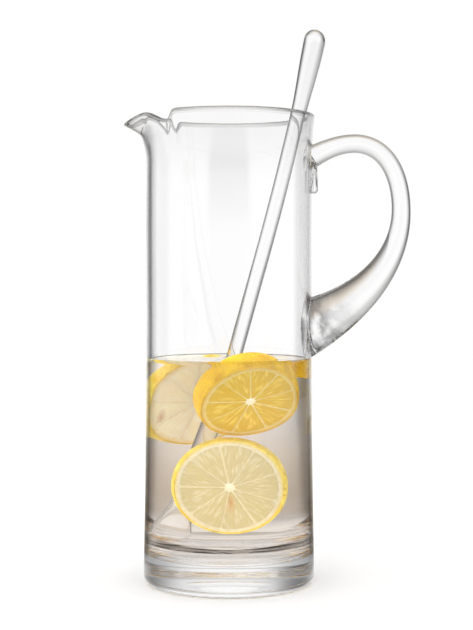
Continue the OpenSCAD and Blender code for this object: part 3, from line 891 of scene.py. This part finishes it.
# The grey stops in these glass ramps are painted shade, by how far the glass is seen on edge
jug_glass = blown_glass("blown_soda_glass", (0.55, "ffffff"), (0.64, "ececec"), (0.72, "808080"),
                        (0.82, "a8a8a8"), (1.0, "dcdcdc"), calm_z=calm_z)
base_glass = blown_glass("thick_soda_glass", (0.05, "ffffff"), (0.15, "dedede"), (0.25, "bababa"),
                         (0.35, "a2a2a2"), (0.6, "8e8e8e"), (1.0, "b4b4b4"), calm_z=calm_z)
inside_glass = blown_glass("blown_soda_glass_inside", (0.8, "ffffff"), (1.0, "c0c0c0"),
                           calm_z=calm_z, rim_z=body_h)
rim_glass = blown_glass("fire_polished_rim", (0.0, "ececec"), (0.15, "cccccc"), (0.4, "9a9a9a"),
                        (0.85, "868686"), (1.0, "b8b8b8"))
handle_glass = blown_glass("sealed_handle_glass", (0.12, "ffffff"), (0.3, "ececec"), (0.5, "a8a8a8"),
                           (0.7, "868686"), (1.0, "c0c0c0"), seal_z=lower_z)
rod_edge = ((0.12, "ffffff"), (0.3, "ececec"), (0.5, "b4b4b4"), (0.7, "8c8c8c"), (1.0, "c0c0c0"))
rod_glass = blown_glass("drawn_soda_glass", *rod_edge)
# In the drink the index counts from the drink on, and a little diffuse white, a painted highlight, keeps the
# rod in sight
wet_glass = blown_glass("drawn_soda_glass_in_drink", *rod_edge, ior=1.35, clear=0.88, wave=9, wavy=0.3)
seam = fused_seam()
water = clear_drink()
ripe_zest = lemon_peel("waxy_lemon_zest", "d4a204", "eec61a")
# A paler zest for the front and left wheels; on the left wheel its paleness is painted light, for the light
# that the drink keeps from the peel
pale_zest = lemon_peel("pale_lemon_zest", "e6c43c", "f8e272")
zest = {"front": pale_zest, "middle": ripe_zest, "left": pale_zest, "right": ripe_zest}
pale_pith = lemon_pith("spongy_lemon_pith", "dcd4b2", "e0d9c4", "e6d48e")
ripe_pith = lemon_pith("ripe_lemon_pith", "dcc884", "dcc67c", "d8ae30")
# Painted light: a near-white pith for the left wheel, lighter for the light it lacks and over the shade
# between its segments
left_pith_painted_light = lemon_pith("lemon_pith_painted_light", "fdf6d8", "fbf3d2", "f4e09a")
pith = {"front": pale_pith, "middle": ripe_pith, "left": left_pith_painted_light, "right": ripe_pith}
pale_flesh = lemon_pulp("juicy_lemon_flesh", "d6ceac", "c6b888", under_cut("front", 0.5, -9))
golden_flesh = lemon_pulp("ripe_lemon_flesh", "e4cc5c", "cea818")
# Painted light: a near-white flesh for the left wheel, lighter for the light it lacks in the drink
left_flesh_painted_light = lemon_pulp("lemon_flesh_painted_light", "fdfae0", "f8f2d0", under_cut("left", -16, -9))
flesh = {"front": pale_flesh, "middle": golden_flesh, "left": left_flesh_painted_light, "right": golden_flesh}

# The pieces

add_piece("pitcher_glass", "jug", ["pitcher_body"], jug_surface(),
          [jug_glass, seam, rim_glass, inside_glass, base_glass], jug_face_material)
add_piece("handle_glass", "jug", ["handle"], handle_surface(),
          [handle_glass, seam], handle_face_material)
add_piece("stirrer_glass", "stirring_rod", ["stirrer"], stirrer_surface(),
          [rod_glass, wet_glass], stirrer_face_material)
add_piece("drink_water", "jug", ["drink"], drink_surface(), [water])
for wheel in wheels:
    add_piece(wheel + "_peel_band", "jug", [wheel + "_slice_peel"], peel_surface(wheel),
              [zest[wheel]])
    disc, places = pith_surface(wheel)
    add_piece(wheel + "_pith_disc", "jug", [wheel + "_slice_pith"], disc,
              [pith[wheel]], uv=places)
    pulp, places = pulp_surface(wheel)
    add_piece(wheel + "_pulp_segments", "jug", [wheel + "_slice_segments"], pulp,
              [flesh[wheel]], uv=places)

# Floor, light and camera

# Light on what stands in the drink, which keeps part of it back: most from the left, less from the right and
# from above
inner_light = 4.2
inner_light_left, inner_light_right = 7.5, 2.6
inner_light_above = 0.3

# What glass sees from the front, 0, to the back, 1: wide soft lights, then dim walls that draw the dark edges
# of the glass, then a white backdrop. The floor's glow takes painted shade that follows the walls'. Both are
# turned a little aside.
wall_tones = ((0.0, "ececec"), (0.1, "ffffff"), (0.66, "ffffff"), (0.75, "6e6e6e"), (0.82, "585858"),
              (0.86, "808080"), (0.89, "a5a5a5"), (0.93, "dbdbdb"), (0.96, "ffffff"))
floor_tones = ((0.0, "ececec"), (0.1, "ffffff"), (0.66, "ffffff"), (0.75, "818181"), (0.82, "797979"),
               (0.87, "868686"), (0.9, "969696"), (0.92, "aaaaaa"), (0.945, "c9c9c9"), (0.965, "dfdfdf"),
               (0.985, "f2f2f2"), (1.0, "ffffff"))
wall_lean, floor_lean = 0.13, 0.06

floor_r_m = 1.05
floor_sides = 96
floor_drop_m = 0.0003
# Glass sees the floor white up to the first distance from the axis, and with painted shade from the second on
floor_white_m, floor_toned_m = 0.07, 0.12


def studio_walls(tree, way, tones, lean):
    """Brightness of what stands round the object, by how far a way points to the back, and a little to the
    right."""
    aside = add(tree, "ShaderNodeMath", {0: way.outputs["X"], 1: lean, 2: way.outputs["Y"]},
                operation="MULTIPLY_ADD")
    place = add(tree, "ShaderNodeMapRange", {"Value": aside}, From_Min=-1.0, From_Max=1.0)
    walls = add(tree, "ShaderNodeValToRGB", {"Fac": place})
    set_stops(walls, *tones)
    return walls


def ray_signs(tree):
    """Three signs of a ray, each 0 or 1: it comes off glass or through it, it comes through glass, and it has
    met a matt thing on its way."""
    ray = add(tree, "ShaderNodeLightPath")
    through = ray.outputs["Is Transmission Ray"]
    glass = add(tree, "ShaderNodeMath", {0: ray.outputs["Is Glossy Ray"], 1: through}, operation="MAXIMUM")
    matt = add(tree, "ShaderNodeMath", {0: ray.outputs["Diffuse Depth"], 1: 1.0}, operation="MINIMUM")
    return glass, through, matt


def studio_floor():
    """A round matt white floor just under the foot, which keeps the object's shadow. Glass sees a glow in its
    place, white near the foot, then darkened by painted shade by distance and like the walls. It also lights
    what stands in the drink from below."""
    mesh = bpy.data.meshes.new("floor")
    mesh.from_pydata([(floor_r_m * math.cos(2 * math.pi * i / floor_sides),
                       floor_r_m * math.sin(2 * math.pi * i / floor_sides), -floor_drop_m)
                      for i in range(floor_sides)], [], [tuple(range(floor_sides))])
    floor = new_object("floor", mesh)
    white, tree = new_material("matt_white_floor")
    paint = add(tree, "ShaderNodeBsdfPrincipled", Base_Color=(0.97, 0.97, 0.97, 1), Roughness=0.9,
                Specular_IOR_Level=0.0)
    place = add(tree, "ShaderNodeTexCoord").outputs["Object"]
    way = add(tree, "ShaderNodeVectorMath", {0: place}, operation="NORMALIZE")
    parts = add(tree, "ShaderNodeSeparateXYZ", {"Vector": way})
    far = add(tree, "ShaderNodeVectorMath", {0: place}, operation="LENGTH")
    share = add(tree, "ShaderNodeMath", {0: far, 1: floor_r_m}, operation="DIVIDE")
    # Painted shade: the glow that glass sees is darker in a ring round the jug, for the floor's shade there
    tone = add(tree, "ShaderNodeValToRGB", {"Fac": share})
    set_stops(tone, (0.07, "ffffff"), (0.11, "cdcdcd"), (0.28, "d6cabb"), (0.5, "f2eadf"), (0.8, "ffffff"))
    near = add(tree, "ShaderNodeMapRange", {"Value": far}, From_Min=floor_white_m, From_Max=floor_toned_m,
               To_Min=1.0, To_Max=0.0)
    walls = studio_walls(tree, parts, floor_tones, floor_lean)
    seen = add(tree, "ShaderNodeMix", {"Factor": near, COLOUR_A: walls, COLOUR_B: WHITE}, data_type="RGBA")
    glow_with_painted_shade = add(tree, "ShaderNodeVectorMath", {0: tone, 1: seen}, operation="MULTIPLY")
    glass_ray, _, matt_ray = ray_signs(tree)
    lit = add(tree, "ShaderNodeMix", {"Factor": matt_ray, COLOUR_A: glow_with_painted_shade,
                                      COLOUR_B: (inner_light, inner_light, inner_light, 1)}, data_type="RGBA")
    glow = add(tree, "ShaderNodeEmission", {"Color": lit})
    shown = add(tree, "ShaderNodeMixShader", {0: glass_ray, 1: paint, 2: glow})
    add(tree, "ShaderNodeOutputMaterial", {"Surface": shown})
    mesh.materials.append(white)


def studio_world():
    """Even white light on matt things, and white for the camera. Glass sees the studio's walls, which end
    above and below in a pale grey, with a dark gap between the lights in front. What stands in the glass is
    lit more strongly, to make up for the light that the drink keeps back."""
    world = bpy.data.worlds.new("studio")
    bpy.context.scene.world = world
    world.use_nodes = True
    tree = world.node_tree
    tree.nodes.clear()
    glass_ray, through_ray, matt_ray = ray_signs(tree)
    way = add(tree, "ShaderNodeTexCoord")
    parts = add(tree, "ShaderNodeSeparateXYZ", {"Vector": way.outputs["Generated"]})
    rise = add(tree, "ShaderNodeMath", {0: parts.outputs["Z"]}, operation="ABSOLUTE")
    steep = add(tree, "ShaderNodeMapRange", {"Value": rise}, From_Min=0.1, From_Max=0.45)
    level = studio_walls(tree, parts, wall_tones, wall_lean)
    walls = add(tree, "ShaderNodeMix", {"Factor": steep, COLOUR_A: level, COLOUR_B: colour("e8e8e8")},
                data_type="RGBA")
    front = add(tree, "ShaderNodeMapRange", {"Value": parts.outputs["Y"]}, From_Min=-0.9, From_Max=-0.84,
                To_Min=1.0, To_Max=0.0)
    above = add(tree, "ShaderNodeMapRange", {"Value": parts.outputs["Z"]}, From_Min=0.02, From_Max=0.09)
    between = add(tree, "ShaderNodeMath", {0: front, 1: above}, operation="MULTIPLY")
    gap = add(tree, "ShaderNodeMix", {"Factor": between, COLOUR_A: walls, COLOUR_B: colour("080808")},
              data_type="RGBA")
    seen = add(tree, "ShaderNodeMix", {"Factor": glass_ray, COLOUR_A: WHITE, COLOUR_B: gap}, data_type="RGBA")
    sideways = add(tree, "ShaderNodeMapRange", {"Value": parts.outputs["X"]}, From_Min=-1.0, From_Max=1.0,
                   To_Min=inner_light_left, To_Max=inner_light_right)
    upward = add(tree, "ShaderNodeMapRange", {"Value": parts.outputs["Z"]}, To_Min=1.0,
                 To_Max=inner_light_above)
    aslant = add(tree, "ShaderNodeMath", {0: sideways, 1: upward}, operation="MULTIPLY")
    inside = add(tree, "ShaderNodeMath", {0: through_ray, 1: matt_ray}, operation="MULTIPLY")
    lit = add(tree, "ShaderNodeMix", {"Factor": inside, COLOUR_A: seen, COLOUR_B: aslant}, data_type="RGBA")
    sky = add(tree, "ShaderNodeBackground", {"Color": lit}, Strength=1.0)
    add(tree, "ShaderNodeOutputWorld", {"Surface": sky})


def soft_box(name, place, aim, size, power):
    """A large soft lamp at a place in metres, aimed at a point."""
    lamp = bpy.data.lights.new(name, "AREA")
    lamp.shape = "RECTANGLE"
    lamp.size, lamp.size_y = size
    lamp.energy = power
    box = new_object(name, lamp)
    way = np.array(aim) - np.array(place)
    flat = math.hypot(way[0], way[1])
    box.location = place
    box.rotation_euler = (math.atan2(flat, -way[2]), 0, math.atan2(way[1], way[0]) - math.pi / 2)
    box.visible_camera = False


studio_floor()
studio_world()
soft_box("overhead", (-0.3, -0.4, 1.5), (0, 0, 0.12), (1.6, 1.6), 6.0)

# The camera stands level with the upper part of the jug and looks a little down
camera_distance = 0.822
camera_height = 0.171
aim_x = 0.0042
aim_z = 0.1489
camera_data = bpy.data.cameras.new("camera")
camera_data.sensor_fit = "VERTICAL"
camera_data.sensor_height = 36.0
camera_data.lens = 84.3
camera = new_object("camera", camera_data)
camera.location = (aim_x, -camera_distance, camera_height)
camera.rotation_euler = (math.pi / 2 - math.atan2(camera_height - aim_z, camera_distance), 0, 0)
bpy.context.scene.camera = camera
bpy.context.scene.view_settings.view_transform = "Standard"

# Light that is caught in the thick base meets its faces many times before it comes out
light_bounces = 64
light_paths = bpy.context.scene.cycles
light_paths.max_bounces = light_bounces
light_paths.transmission_bounces = light_bounces
light_paths.glossy_bounces = light_bounces
